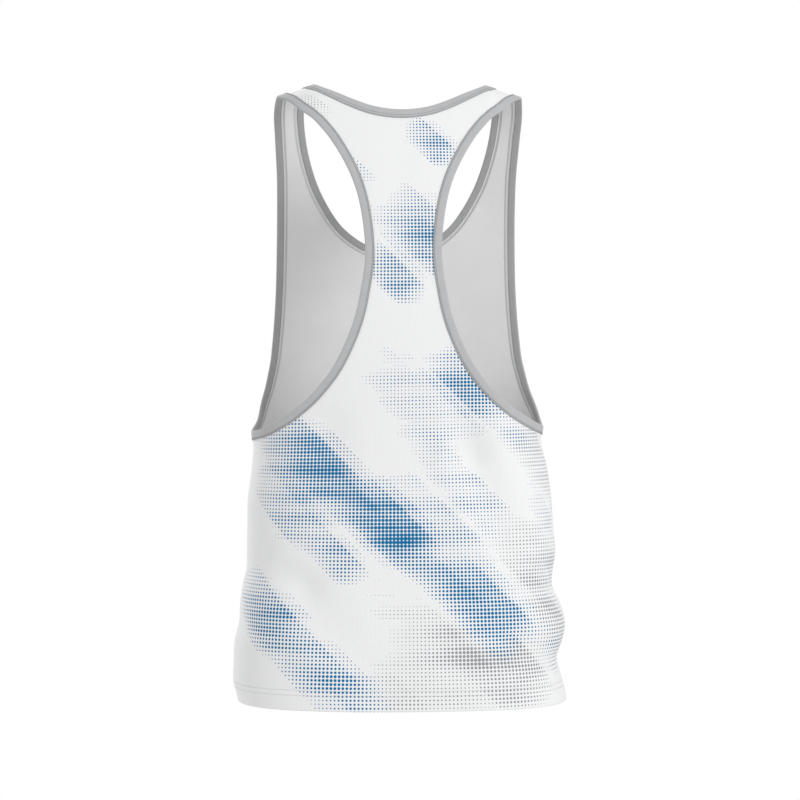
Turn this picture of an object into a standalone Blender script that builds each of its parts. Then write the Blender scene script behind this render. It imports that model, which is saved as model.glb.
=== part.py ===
"""A racerback boxing vest, hollow and filled out as if it were worn, with no wearer in it.

Frame: metres, +Z up, the front faces -Y and the back +Y, so +X is the wearer's left.
The origin is where shoulders carry the vest: midway between the undersides of its two straps.

The cloth follows a plain figure. A figure line runs over the shoulder and down the middle of
the front or the back, and level sections go round from it to the side seam. A place on the cloth is
two numbers: "turn", the angle round the section from the middle to the side seam, and "down",
the length of cloth from the top of the shoulder. A panel is cut by its edges on that cloth.
"""

import math
from collections import namedtuple

import bmesh
import bpy
from mathutils import Vector

MM = 0.001

# ---------------------------------------------------------------- driving sizes, in millimetres

CLOTH = 1.2            # the knitted cloth, as a wall
SEAM_GAP = 0.3         # between pieces that are sewn together
BINDING_WIDTH = 10.5   # from the cut edge of the cloth to the line that the bindings are laid by
INSIDE_FACE = 6.4      # from the cut edge to a binding's edge on the inside
ARMHOLE_FACE = 8.6     # and to its edge on the outside, at the armholes
NECK_FACE = 10.0       # and at the neck
BINDING_CLOTH = 0.9    # the binding's own knit
HEM_LEVEL = -674.0     # the finished lower edge
HEM_DEPTH = 23.0       # the cloth turned up inside the lower edge
HEM_STEP = 1.2         # the slope where the turned cloth ends
STRAP_MIDDLE = 117.0   # from the middle of the vest to the middle of a strap, on the shoulder
STRAP_HALF = 18.5      # half a strap's width there, between its cut edges
SHOULDER_FALL = 0.33   # how fast the shoulder falls towards the arm
SHOULDER_FLAT = 95.0   # nearer the neck than this the shoulder runs level
SHOULDER_FADE = 220.0  # cloth this far down takes no slope from the shoulder
SQUARENESS = 0.04      # 0 is an oval section, more fills its corners
SIDE_LEAN = 3.0        # the left underarm hangs this much lower, and the right one higher
LEAN_TOP, LEAN_MOST, LEAN_END = -60.0, -376.0, -530.0
MEAN_REACH = 150.0     # turns a difference of angle into a length, where an edge is spaced

COLUMNS = 9            # faces across half a panel, inside the bindings
ROW_LENGTH = 18.0      # about this much cloth in a row of faces
ROW_EVENNESS = 0.25    # 0 keeps rows level up to the neck, 1 spaces them evenly on the middle line

# The figure's slope under the cloth: 0 is level, as on the shoulder, and 90 hangs straight down.
Slope = namedtuple("Slope", "down degrees")
BACK_SLOPES = (
    Slope(0, 0), Slope(25, 27), Slope(50, 50), Slope(80, 65), Slope(150, 71), Slope(200, 80),
    Slope(260, 88), Slope(340, 94), Slope(420, 93), Slope(500, 87), Slope(600, 84), Slope(780, 84),
)
FRONT_SLOPES = (
    Slope(0, 0), Slope(22, 27), Slope(45, 48), Slope(90, 56), Slope(140, 66), Slope(200, 80),
    Slope(260, 89), Slope(340, 93), Slope(420, 91), Slope(500, 88), Slope(600, 86), Slope(780, 86),
)

# Half the width of the level sections. Above the underarm the section is wider than the cloth on it.
Girth = namedtuple("Girth", "level left right")
GIRTHS = (
    Girth(-740, 181, 187), Girth(-674, 179.5, 185), Girth(-654, 184, 181), Girth(-629, 183.5, 175.5),
    Girth(-609, 182.5, 180), Girth(-589, 177.5, 183.5), Girth(-569, 176.5, 178), Girth(-549, 174, 169),
    Girth(-529, 169.5, 170), Girth(-511, 169, 172.5), Girth(-480, 168.5, 170),
    Girth(-450, 168, 168), Girth(-420, 164, 163.5), Girth(-386, 162, 157), Girth(-336, 170, 169),
    Girth(-276, 190, 190), Girth(-196, 205, 205), Girth(-96, 215, 215), Girth(40, 215, 215),
)

# The edges where the cloth is cut: distance from the middle, and level before the shoulder's slope.
Edge = namedtuple("Edge", "across level")
UNDERARM_LEVEL = -376.0
STRAP_ARM_SIDE = Edge(STRAP_MIDDLE + STRAP_HALF, 0)
STRAP_NECK_SIDE = Edge(STRAP_MIDDLE - STRAP_HALF, 0)
BACK_ARMHOLE = (
    Edge(None, UNDERARM_LEVEL), Edge(150.5, -372), Edge(137.5, -365.5), Edge(119.5, -354),
    Edge(96.5, -334), Edge(73, -303.5), Edge(54, -262), Edge(43, -214), Edge(40, -178.5),
    Edge(46, -130), Edge(57.5, -96), Edge(77, -62.5), Edge(96, -40), Edge(110.5, -25.5),
    Edge(122.5, -11.5), Edge(130.5, -4), STRAP_ARM_SIDE,
)
FRONT_ARMHOLE = (
    Edge(None, UNDERARM_LEVEL), Edge(158, -364), Edge(153, -341), Edge(147.5, -318),
    Edge(142.5, -288), Edge(138.5, -236), Edge(136.5, -166), Edge(136, -95), Edge(138, -41),
    Edge(139, -15), STRAP_ARM_SIDE,
)
BACK_NECK = (
    Edge(0, -32), Edge(12, -31.5), Edge(32, -28), Edge(53, -20.5), Edge(71, -12.5), Edge(85, -6.5),
    Edge(94.5, -2), STRAP_NECK_SIDE,
)
FRONT_NECK = (
    Edge(0, -172), Edge(14, -170.5), Edge(38, -161), Edge(56, -149), Edge(69, -136), Edge(84.5, -112.5),
    Edge(95, -90), Edge(103.5, -60), Edge(107.5, -31), Edge(107, -12), STRAP_NECK_SIDE,
)

# Soft folds, seen square on from the front or the back: a line, half its width, and its height at
# each end. A height below 0 is a trough.
Fold = namedtuple("Fold", "x0 z0 x1 z1 reach height0 height1")
BACK_FOLDS = (
    Fold(-50, -318, -76, -405, 17, -1.5, -6), Fold(-76, -405, -118, -520, 24, -6, -3.5),
    Fold(-104, -372, -150, -500, 22, 3.5, 2.5), Fold(-48, -400, -88, -520, 18, 3, 1.5),
    Fold(82, -372, 72, -452, 22, -4, -2), Fold(150, -512, 106, -545, 16, -1.5, -4),
    Fold(106, -545, 52, -622, 26, -4, -2), Fold(128, -580, 70, -660, 24, 3, 1.5),
    Fold(-178, -634, -120, -606, 16, -5, -3), Fold(-120, -606, -70, -560, 20, -3, -1),
    Fold(-160, -600, -96, -650, 22, 2.5, 1.5), Fold(8, -560, 26, -660, 34, -2.5, -2.5),
)
FRONT_FOLDS = (
    Fold(70, -330, 96, -450, 20, -2.5, -5), Fold(96, -450, 104, -585, 24, -5, -3),
    Fold(-66, -340, -84, -470, 22, -3, -5), Fold(-84, -470, -74, -600, 26, -5, -2.5),
    Fold(20, -395, 34, -560, 26, 2.5, 3.5), Fold(-26, -430, -36, -610, 28, 3, 2.5),
    Fold(135, -505, 78, -632, 22, 3, 2), Fold(-176, -634, -122, -615, 16, -5, -2.5),
    Fold(6, -210, 12, -330, 30, -2, -2.5),
)

JERSEY = (0.90, 0.90, 0.905, 1.0)
BINDING_GREY = (0.42, 0.425, 0.43, 1.0)


# ---------------------------------------------------------------- curves and tables

def ease(share):
    """0 below 0, 1 above 1, and a smooth rise between."""
    share = min(1.0, max(0.0, share))
    return share * share * (3 - 2 * share)


def smooth_value(xs, ys, x):
    """The value at x of a smooth curve through the points, whose xs rise."""
    last = len(xs) - 1
    i = 0
    while i < last - 1 and x > xs[i + 1]:
        i += 1

    def steepness(k):
        low, high = max(0, k - 1), min(last, k + 1)
        return (ys[high] - ys[low]) / (xs[high] - xs[low])

    width = xs[i + 1] - xs[i]
    t = min(1.0, max(0.0, (x - xs[i]) / width))
    start = (2 * t**3 - 3 * t**2 + 1) * ys[i] + (t**3 - 2 * t**2 + t) * width * steepness(i)
    end = (3 * t**2 - 2 * t**3) * ys[i + 1] + (t**3 - t**2) * width * steepness(i + 1)
    return start + end


def half_width(level, hand):
    """Half the width of the section at a level, on the left (hand 1) or the right (hand -1)."""
    side = [row.left if hand > 0 else row.right for row in GIRTHS]
    return smooth_value([row.level for row in GIRTHS], side, level)


class FigureLine:
    """The line over the shoulder and down the middle, as lists of its reach out and its level."""

    STEP = 2.0

    def __init__(self, slopes, towards, folds):
        self.towards = towards
        self.folds = folds
        self.reaches, self.levels = [0.0], [0.0]
        downs, degrees = [row.down for row in slopes], [row.degrees for row in slopes]
        for n in range(int(downs[-1] / self.STEP)):
            slope = math.radians(smooth_value(downs, degrees, (n + 0.5) * self.STEP))
            self.reaches.append(self.reaches[-1] + self.STEP * math.cos(slope))
            self.levels.append(self.levels[-1] - self.STEP * math.sin(slope))

    def read(self, values, down):
        place = min(max(down / self.STEP, 0.0), len(values) - 1.001)
        n = int(place)
        return values[n] + (place - n) * (values[n + 1] - values[n])

    def down_at(self, level):
        """How far down the cloth a level is."""
        n = 0
        while n < len(self.levels) - 2 and self.levels[n + 1] > level:
            n += 1
        share = (level - self.levels[n]) / (self.levels[n + 1] - self.levels[n])
        return (n + share) * self.STEP


BACK = FigureLine(BACK_SLOPES, 1.0, BACK_FOLDS)
FRONT = FigureLine(FRONT_SLOPES, -1.0, FRONT_FOLDS)


# ---------------------------------------------------------------- the cloth on the figure

def section_shares(turn):
    """How far a turn goes out to the side, and how much of the middle's reach is left there."""
    side = (math.sin(turn) + SQUARENESS * math.sin(3 * turn)) / (1 - SQUARENESS)
    reach = (math.cos(turn) - SQUARENESS * math.cos(3 * turn)) / (1 - SQUARENESS)
    return side, reach


def turn_at(across, level, hand):
    """The turn at which the section at a level is so far from the middle."""
    low, high = 0.0, math.pi / 2
    for _ in range(30):
        turn = (low + high) / 2
        if section_shares(turn)[0] * half_width(level, hand) < across:
            low = turn
        else:
            high = turn
    return turn


def fold_height(folds, x, z):
    """How far the folds lift the cloth, seen square on at x and z."""
    height = 0.0
    for fold in folds:
        along_x, along_z = fold.x1 - fold.x0, fold.z1 - fold.z0
        length = math.hypot(along_x, along_z)
        share = ((x - fold.x0) * along_x + (z - fold.z0) * along_z) / length**2
        aside = ((x - fold.x0) * along_z - (z - fold.z0) * along_x) / length
        past = max(0.0, -share, share - 1) * length
        size = fold.height0 + (fold.height1 - fold.height0) * min(1.0, max(0.0, share))
        height += size * math.exp(-(aside**2 + past**2) / fold.reach**2)
    return height


def bare_point(line, turn, down):
    """A place on the figure in millimetres, before any fold."""
    hand = 1.0 if turn >= 0 else -1.0
    side, reach = section_shares(abs(turn))
    level = line.read(line.levels, down)
    x = hand * side * half_width(level, hand)
    y = line.towards * reach * line.read(line.reaches, down)
    rise = SHOULDER_FALL * (STRAP_MIDDLE - max(abs(x), SHOULDER_FLAT))
    lean = SIDE_LEAN * ease((LEAN_TOP - level) / (LEAN_TOP - LEAN_MOST)) * x / half_width(level, hand)
    lean *= 1 - ease((LEAN_MOST - level) / (LEAN_MOST - LEAN_END))
    return Vector((x, y, level + CLOTH + rise * (1 - ease(down / SHOULDER_FADE)) - lean))


def slopes_of_cloth(line, turn, down):
    """The cloth's two directions at a place: for each radian of turn, and each millimetre down."""
    small_turn, small_down = 0.002, 0.5
    low, high = max(turn - small_turn, -math.pi / 2), min(turn + small_turn, math.pi / 2)
    top = max(0.0, down - small_down)
    by_turn = (bare_point(line, high, down) - bare_point(line, low, down)) / (high - low)
    by_down = (bare_point(line, turn, down + small_down) - bare_point(line, turn, top)) / (
        down + small_down - top)
    return by_turn, by_down


def cloth_place(line, turn, down):
    """The outer face of the cloth and its outward normal. The figure's own surface is the cloth's
    inner face, and a seam's normal stays in the seam's plane."""
    by_turn, by_down = slopes_of_cloth(line, turn, down)
    normal = by_turn.cross(by_down) * line.towards
    on_seam = down == 0.0 or abs(turn) == math.pi / 2
    if on_seam:
        normal.y = 0.0
    normal.normalize()
    point = bare_point(line, turn, down)
    fade = math.cos(turn) ** 0.5 if not on_seam else 0.0
    lift = CLOTH + fold_height(line.folds, point.x, point.z) * fade
    return point + normal * lift, normal


# ---------------------------------------------------------------- the panels' edges

def edge_stations(line, rows, hand):
    """The turn and the down of each row of an edge's table."""
    stations = []
    for row in rows:
        turn = math.pi / 2 if row.across is None else turn_at(row.across, row.level, hand)
        stations.append((turn, line.down_at(row.level)))
    return stations


def spaced_along(stations, count):
    """count + 1 places at even distances along a smooth edge through its stations."""
    travelled = [0.0]
    for (turn0, down0), (turn1, down1) in zip(stations, stations[1:]):
        travelled.append(travelled[-1] + math.hypot((turn1 - turn0) * MEAN_REACH, down1 - down0))
    places = []
    for n in range(count + 1):
        at = travelled[-1] * n / count
        places.append(tuple(smooth_value(travelled, [s[k] for s in stations], at) for k in (0, 1)))
    places[0], places[-1] = stations[0], stations[-1]
    return places


def length_of(stations):
    return sum(math.hypot((a[0] - b[0]) * MEAN_REACH, a[1] - b[1])
               for a, b in zip(stations, stations[1:]))


def stitched_line(line, edge, inward):
    """The places one binding's width into the cloth from each place of an edge. inward is 1 where
    the cloth lies at a larger turn than the edge, as at the neck, and -1 at the armhole."""
    places = []
    for n, (turn, down) in enumerate(edge):
        by_turn, by_down = slopes_of_cloth(line, turn, down)
        before, after = edge[max(0, n - 1)], edge[min(len(edge) - 1, n + 1)]
        along = (after[0] - before[0]) * by_turn + (after[1] - before[1]) * by_down
        away = along.cross(by_down.cross(by_turn)).normalized() * inward
        if turn in (0.0, math.pi / 2):         # on the middle line and the side seam, straight down
            away = by_down.normalized()
        if down == 0.0:                        # on the shoulder seam, along it
            away = by_turn.normalized() * inward
        # The step away, in turn and down, from the two directions' own lengths and their angle.
        tt, dd, td = by_turn.dot(by_turn), by_down.dot(by_down), by_turn.dot(by_down)
        at, ad = away.dot(by_turn), away.dot(by_down)
        spread = tt * dd - td * td
        step_turn, step_down = (at * dd - ad * td) / spread, (ad * tt - at * td) / spread
        if turn in (0.0, math.pi / 2):
            step_turn = 0.0
        if down == 0.0:
            step_down = 0.0
        places.append((turn + step_turn * BINDING_WIDTH, down + step_down * BINDING_WIDTH))
    return places


class PanelPlan:
    """Half a panel as cut: rows of places from its middle to its side, with the bound edges."""

    def __init__(self, line, armhole, neck, hand, side_rows, arm_rows, strap_rows):
        self.line, self.hand = line, hand
        self.arm_edge = spaced_along(edge_stations(line, armhole, hand), arm_rows + strap_rows)
        self.neck_edge = spaced_along(edge_stations(line, neck, hand), strap_rows)
        self.arm_stitch = stitched_line(line, self.arm_edge, -1)
        self.neck_stitch = stitched_line(line, self.neck_edge, 1)
        underarm, neck_base = self.arm_stitch[0][1], self.neck_stitch[0][1]
        hem = line.down_at(HEM_LEVEL)
        downs = [hem, hem - HEM_DEPTH, hem - HEM_DEPTH - HEM_STEP]
        downs += [downs[-1] + (underarm - downs[-1]) * n / side_rows for n in range(1, side_rows)]
        self.hem_rows = 2                      # rows whose wall is the turned hem, two cloths thick
        self.underarm_row = len(downs)
        rows = [((0.0, down), (math.pi / 2, down)) for down in downs]
        for n, outer in enumerate(self.arm_stitch):
            if n <= arm_rows:
                risen = (outer[1] - underarm) / (self.arm_stitch[arm_rows][1] - underarm)
                share = risen + (n / arm_rows - risen) * ROW_EVENNESS
                inner = (0.0, underarm + (neck_base - underarm) * share)
            else:
                inner = self.neck_stitch[n - arm_rows]
            rows.append((inner, outer))
        self.neck_row = self.underarm_row + arm_rows
        self.rows = [self.filled(inner, outer) for inner, outer in rows]

    def filled(self, inner, outer):
        """The places of one row, from the middle or the neck to the side or the armhole."""
        return [tuple(inner[k] + (outer[k] - inner[k]) * n / COLUMNS for k in (0, 1))
                for n in range(COLUMNS + 1)]

    def place(self, turn_and_down):
        turn, down = turn_and_down
        return cloth_place(self.line, self.hand * turn, down)


def plan_pair(line, armhole, neck, side_rows, arm_rows, strap_rows):
    return {hand: PanelPlan(line, armhole, neck, hand, side_rows, arm_rows, strap_rows)
            for hand in (1, -1)}


# ---------------------------------------------------------------- solids

def new_object(name, bm, material):
    """Makes a closed bmesh, in millimetres, an object in metres."""
    bmesh.ops.recalc_face_normals(bm, faces=bm.faces)
    bmesh.ops.scale(bm, vec=(MM, MM, MM), verts=bm.verts)
    if bm.calc_volume(signed=True) < 0:
        bmesh.ops.reverse_faces(bm, faces=bm.faces)
    mesh = bpy.data.meshes.new(name)
    bm.to_mesh(mesh)
    bm.free()
    mesh.materials.append(material)
    mesh.shade_smooth()
    mesh.set_sharp_from_angle(angle=math.radians(50))
    made = bpy.data.objects.new(name, mesh)
    bpy.context.scene.collection.objects.link(made)
    return made


def new_material(name, colour, roughness):
    material = bpy.data.materials.new(name)
    material.use_nodes = True
    shader = material.node_tree.nodes["Principled BSDF"]
    shader.inputs["Base Color"].default_value = colour
    shader.inputs["Roughness"].default_value = roughness
    shader.inputs["Metallic"].default_value = 0.0
    return material


def add_split(bm, corners, from_first):
    """Adds a four-sided face as two triangles, split from its first corner or from its second."""
    a, b, c, d = corners
    for triangle in ((a, b, c), (a, c, d)) if from_first else ((a, b, d), (b, c, d)):
        bm.faces.new(triangle)


def panel(name, plans, material):
    """A panel: one sheet over both halves, bound edges included, thickened inwards to its wall."""
    bm = bmesh.new()
    normals, walls = {}, {}

    def vertex(plan, place, wall):
        point, normal = plan.place(place)
        if place[1] == 0.0 or place[0] == math.pi / 2:   # half the seam's gap
            point = point + Vector((0.0, plan.line.towards * SEAM_GAP / 2, 0.0))
        made = bm.verts.new(point)
        normals[made], walls[made] = normal, wall
        return made

    def strip(rails, hand):
        for first, second in zip(rails, rails[1:]):
            for a, b, c, d in zip(first, first[1:], second[1:], second):
                corners = (a, b, c, d) if hand > 0 else (a, d, c, b)
                add_split(bm, corners, (a.co - c.co).length <= (b.co - d.co).length)

    middle = None
    for hand, plan in plans.items():
        rows = []
        for n, row in enumerate(plan.rows):
            wall = CLOTH * (2 if n < plan.hem_rows else 1)
            shared = [middle[n]] if middle and n <= plan.neck_row else []
            rows.append(shared + [vertex(plan, place, wall) for place in row[len(shared):]])
        strip(rows, hand)
        bound = rows[plan.underarm_row:]
        strip([(row[-1], vertex(plan, edge, CLOTH)) for row, edge in zip(bound, plan.arm_edge)], hand)
        edges = [middle[-1]] if middle else []
        edges += [vertex(plan, edge, CLOTH) for edge in plan.neck_edge[len(edges):]]
        strip([(edge, row[0]) for row, edge in zip(rows[plan.neck_row:], edges)], hand)
        middle = [row[0] for row in rows[:plan.neck_row + 1]] + [edges[0]]

    outer = list(bm.verts)
    grown = bmesh.ops.extrude_face_region(bm, geom=bm.faces[:], use_keep_orig=True)["geom"]
    inner = {tuple(v.co): v for v in grown if isinstance(v, bmesh.types.BMVert)}
    for v in outer:
        inner[tuple(v.co)].co = v.co - normals[v] * walls[v]
    return new_object(name, bm, material)


def binding_profile(face):
    """The folded binding's section, round from its outside edge: how far past the cut edge, less
    than 0 being over the cloth, and how high over the cloth's outer face."""
    top, bottom = SEAM_GAP, -CLOTH - SEAM_GAP
    fold, full = SEAM_GAP, SEAM_GAP + BINDING_CLOTH
    middle, depth = (top + bottom) / 2, (top - bottom) / 2 + BINDING_CLOTH
    return (
        (-face, top), (fold, top), (fold, bottom), (-INSIDE_FACE, bottom),
        (-INSIDE_FACE, bottom - BINDING_CLOTH), (fold, bottom - BINDING_CLOTH),
        (full * 0.8, middle - depth * 0.6), (full, middle), (full * 0.8, middle + depth * 0.6),
        (fold, top + BINDING_CLOTH), (-face, top + BINDING_CLOTH),
    )


def binding(name, pairs, face, material):
    """A band folded over a bound edge, all round. pairs holds the places on its inside edge's line
    and on the cut edge."""
    bm = bmesh.new()
    profile = binding_profile(face)
    rings = []
    for (stitch, stitch_normal), (cut, cut_normal) in pairs:
        outwards = (cut - stitch).normalized()
        ring = []
        for past, height in profile:
            share = max(0.0, -past) / BINDING_WIDTH
            foot = cut.lerp(stitch, share) + outwards * max(0.0, past)
            ring.append(bm.verts.new(foot + cut_normal.lerp(stitch_normal, share) * height))
        rings.append(ring)
    for n, ring in enumerate(rings):
        # Each face is split as the panel's face beside it is, so that the gap between them stays even.
        following, after = rings[(n + 1) % len(rings)], pairs[(n + 1) % len(pairs)]
        stitch_first = (pairs[n][0][0] - after[1][0]).length <= (pairs[n][1][0] - after[0][0]).length
        for k in range(len(ring)):
            m = (k + 1) % len(ring)
            add_split(bm, (ring[k], ring[m], following[m], following[k]),
                      stitch_first == (profile[k][0] < 0))
    return new_object(name, bm, material)


def bound_pairs(plan, stitches, edges):
    return [(plan.place(stitch), plan.place(edge)) for stitch, edge in zip(stitches, edges)]


def armhole_pairs(back, front):
    """Up the back's armhole edge from the underarm, over the shoulder, and down the front's."""
    up = bound_pairs(back, back.arm_stitch, back.arm_edge)
    down = bound_pairs(front, front.arm_stitch, front.arm_edge)[::-1]
    return up + down[1:-1]


def neck_pairs(backs, fronts):
    """From the middle of the back over the left shoulder to the front, and back over the right."""
    halves = {}
    for hand in (1, -1):
        up = bound_pairs(backs[hand], backs[hand].neck_stitch, backs[hand].neck_edge)
        down = bound_pairs(fronts[hand], fronts[hand].neck_stitch, fronts[hand].neck_edge)[::-1]
        halves[hand] = up + down[1:]
    return halves[1] + halves[-1][::-1][1:-1]


def rows_for(line, rows, hand=1):
    """How many rows of faces a bound edge takes."""
    return max(4, round(length_of(edge_stations(line, rows, hand)) / ROW_LENGTH))


def build():
    for old in list(bpy.data.objects):
        bpy.data.objects.remove(old)
    jersey = new_material("jersey", JERSEY, 0.75)
    grey = new_material("binding_knit", BINDING_GREY, 0.7)

    side_rows = round((UNDERARM_LEVEL - BINDING_WIDTH - HEM_LEVEL - HEM_DEPTH) / ROW_LENGTH)
    back_strap, front_strap = rows_for(BACK, BACK_NECK), rows_for(FRONT, FRONT_NECK)
    back = plan_pair(BACK, BACK_ARMHOLE, BACK_NECK, side_rows,
                     rows_for(BACK, BACK_ARMHOLE) - back_strap, back_strap)
    front = plan_pair(FRONT, FRONT_ARMHOLE, FRONT_NECK, side_rows,
                      rows_for(FRONT, FRONT_ARMHOLE) - front_strap, front_strap)

    panel("back_panel", back, jersey)
    panel("front_panel", front, jersey)
    binding("armhole_binding_left", armhole_pairs(back[1], front[1]), ARMHOLE_FACE, grey)
    binding("armhole_binding_right", armhole_pairs(back[-1], front[-1]), ARMHOLE_FACE, grey)
    binding("neck_binding", neck_pairs(back, front), NECK_FACE, grey)


build()
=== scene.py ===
# %% [markdown]
# # A racerback boxing vest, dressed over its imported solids
#
# The vest is hollow and filled out as if it were worn. Each cloth piece is a thin shell on the form
# of its own solid, printed, bound and sewn as the real one is. Lengths are worked out in
# millimetres, as a pattern cutter does, and go to metres when a piece is finished.

# %% Load the frame
import math
from collections import namedtuple

import bmesh
import bpy
from mathutils import Matrix, Vector


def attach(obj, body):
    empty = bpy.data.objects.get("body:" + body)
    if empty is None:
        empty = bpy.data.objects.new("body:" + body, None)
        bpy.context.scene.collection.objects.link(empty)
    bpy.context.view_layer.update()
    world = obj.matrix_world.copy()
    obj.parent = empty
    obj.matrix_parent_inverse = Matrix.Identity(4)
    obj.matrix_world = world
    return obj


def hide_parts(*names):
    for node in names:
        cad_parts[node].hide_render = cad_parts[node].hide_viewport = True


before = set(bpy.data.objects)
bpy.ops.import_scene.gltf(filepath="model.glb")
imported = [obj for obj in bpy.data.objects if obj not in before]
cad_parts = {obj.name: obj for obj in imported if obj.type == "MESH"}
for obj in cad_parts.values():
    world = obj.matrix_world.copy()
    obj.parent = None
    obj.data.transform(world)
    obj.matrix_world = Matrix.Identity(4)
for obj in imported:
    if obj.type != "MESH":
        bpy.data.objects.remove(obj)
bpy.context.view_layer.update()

MM = 0.001
print("solids:", sorted(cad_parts))

# %% [markdown]
# ## The figure under the cloth
#
# A vest could be draped by simulation, but its outline and few soft folds are known, so the cloth
# is placed by rule: a line runs over the shoulder and down the middle of the front or the back,
# and level sections go round from it to the side seam. A place on the cloth is a "turn" round the
# section and a length "down" from the shoulder. The tables are those of the solids.

# %% The cloth's sizes
CLOTH = 1.0            # the jersey's wall
SOLID_WALL = 1.2       # the wall of its solid, whose outer face this cloth shares
BINDING_WIDTH = 10.5   # from the cloth's cut edge to the line that the bindings are laid by
INSIDE_FACE = 6.4      # from the cut edge to a binding's edge on the inside
ARMHOLE_FACE = 8.6     # and to its edge on the outside, at the armholes
NECK_FACE = 10.0       # and at the neck
HEM_LEVEL, HEM_DEPTH = -674.0, 23.0
HEM_FOLD = 1.1         # half the height of the turned hem's fold
STRAP_MIDDLE, STRAP_HALF = 117.0, 18.5
SHOULDER_FALL, SHOULDER_FLAT, SHOULDER_FADE = 0.33, 95.0, 220.0
SQUARENESS = 0.04      # of the level sections
SIDE_LEAN = 3.0        # how far the section at the underarms tilts
LEAN_TOP, LEAN_MOST, LEAN_END = -60.0, -376.0, -530.0
MEAN_REACH = 150.0     # turns count as so many millimetres where edges are spaced

# %% The figure's tables
Slope = namedtuple("Slope", "down degrees")
BACK_SLOPES = (
    Slope(0, 0), Slope(25, 27), Slope(50, 50), Slope(80, 65), Slope(150, 71), Slope(200, 80),
    Slope(260, 88), Slope(340, 94), Slope(420, 93), Slope(500, 87), Slope(600, 84), Slope(780, 84),
)
FRONT_SLOPES = (
    Slope(0, 0), Slope(22, 27), Slope(45, 48), Slope(90, 56), Slope(140, 66), Slope(200, 80),
    Slope(260, 89), Slope(340, 93), Slope(420, 91), Slope(500, 88), Slope(600, 86), Slope(780, 86),
)
Girth = namedtuple("Girth", "level left right")
GIRTHS = (
    Girth(-740, 181, 187), Girth(-674, 179.5, 185), Girth(-654, 184, 181),
    Girth(-629, 183.5, 175.5), Girth(-609, 182.5, 180), Girth(-589, 177.5, 183.5),
    Girth(-569, 176.5, 178), Girth(-549, 174, 169), Girth(-529, 169.5, 170),
    Girth(-511, 169, 172.5), Girth(-480, 168.5, 170), Girth(-450, 168, 168),
    Girth(-420, 164, 163.5), Girth(-386, 162, 157), Girth(-336, 170, 169), Girth(-276, 190, 190),
    Girth(-196, 205, 205), Girth(-96, 215, 215), Girth(40, 215, 215),
)

# %% The cut edges
Edge = namedtuple("Edge", "across level")
UNDERARM_LEVEL = -376.0
STRAP_ARM_SIDE = Edge(STRAP_MIDDLE + STRAP_HALF, 0)
STRAP_NECK_SIDE = Edge(STRAP_MIDDLE - STRAP_HALF, 0)
BACK_ARMHOLE = (
    Edge(None, UNDERARM_LEVEL), Edge(150.5, -372), Edge(137.5, -365.5), Edge(119.5, -354),
    Edge(96.5, -334), Edge(73, -303.5), Edge(54, -262), Edge(43, -214), Edge(40, -178.5),
    Edge(46, -130), Edge(57.5, -96), Edge(77, -62.5), Edge(96, -40), Edge(110.5, -25.5),
    Edge(122.5, -11.5), Edge(130.5, -4), STRAP_ARM_SIDE,
)
FRONT_ARMHOLE = (
    Edge(None, UNDERARM_LEVEL), Edge(158, -364), Edge(153, -341), Edge(147.5, -318),
    Edge(142.5, -288), Edge(138.5, -236), Edge(136.5, -166), Edge(136, -95), Edge(138, -41),
    Edge(139, -15), STRAP_ARM_SIDE,
)
BACK_NECK = (
    Edge(0, -32), Edge(12, -31.5), Edge(32, -28), Edge(53, -20.5), Edge(71, -12.5), Edge(85, -6.5),
    Edge(94.5, -2), STRAP_NECK_SIDE,
)
FRONT_NECK = (
    Edge(0, -172), Edge(14, -170.5), Edge(38, -161), Edge(56, -149), Edge(69, -136),
    Edge(84.5, -112.5), Edge(95, -90), Edge(103.5, -60), Edge(107.5, -31), Edge(107, -12),
    STRAP_NECK_SIDE,
)

# %% [markdown]
# ## Folds
#
# Light jersey on a filled form shows a few long soft folds, from the underarm down to the hem, and
# short ripples at the flank. Each is one line with half a width and a height at both ends, and
# lifts the cloth along its normal in a bell-shaped rise or trough. The first rows are the large
# folds that the solids have too. The rows after the gap are finer creases, made here only.

# %% The folds' tables
Fold = namedtuple("Fold", "x0 z0 x1 z1 reach height0 height1")
BACK_FOLDS = (
    Fold(-50, -318, -76, -405, 17, -1.5, -6), Fold(-76, -405, -118, -520, 24, -6, -3.5),
    Fold(-104, -372, -150, -500, 22, 3.5, 2.5), Fold(-48, -400, -88, -520, 18, 3, 1.5),
    Fold(82, -372, 72, -452, 22, -4, -2), Fold(150, -512, 106, -545, 16, -1.5, -4),
    Fold(106, -545, 52, -622, 26, -4, -2), Fold(128, -580, 70, -660, 24, 3, 1.5),
    Fold(-178, -634, -120, -606, 16, -5, -3), Fold(-120, -606, -70, -560, 20, -3, -1),
    Fold(-160, -600, -96, -650, 22, 2.5, 1.5), Fold(8, -560, 26, -660, 34, -2.5, -2.5),

    Fold(-62, -398, -74, -432, 5, -0.2, -1.1), Fold(-74, -432, -104, -496, 6, -1.1, -0.3),
    Fold(104, -448, 146, -500, 6, -0.2, -0.9), Fold(146, -500, 156, -540, 7, -0.9, -0.4),
    Fold(-168, -560, -120, -548, 5, -1.2, -0.2), Fold(-172, -606, -132, -590, 5, 0.9, 0.2),
    Fold(-30, -640, -66, -662, 7, 0.7, 0.3), Fold(56, -640, 96, -668, 8, -0.8, -0.3),
    Fold(0, -60, 10, -150, 16, -0.8, -0.6), Fold(-34, -120, -20, -230, 9, 0.5, 0.4),
)
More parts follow.
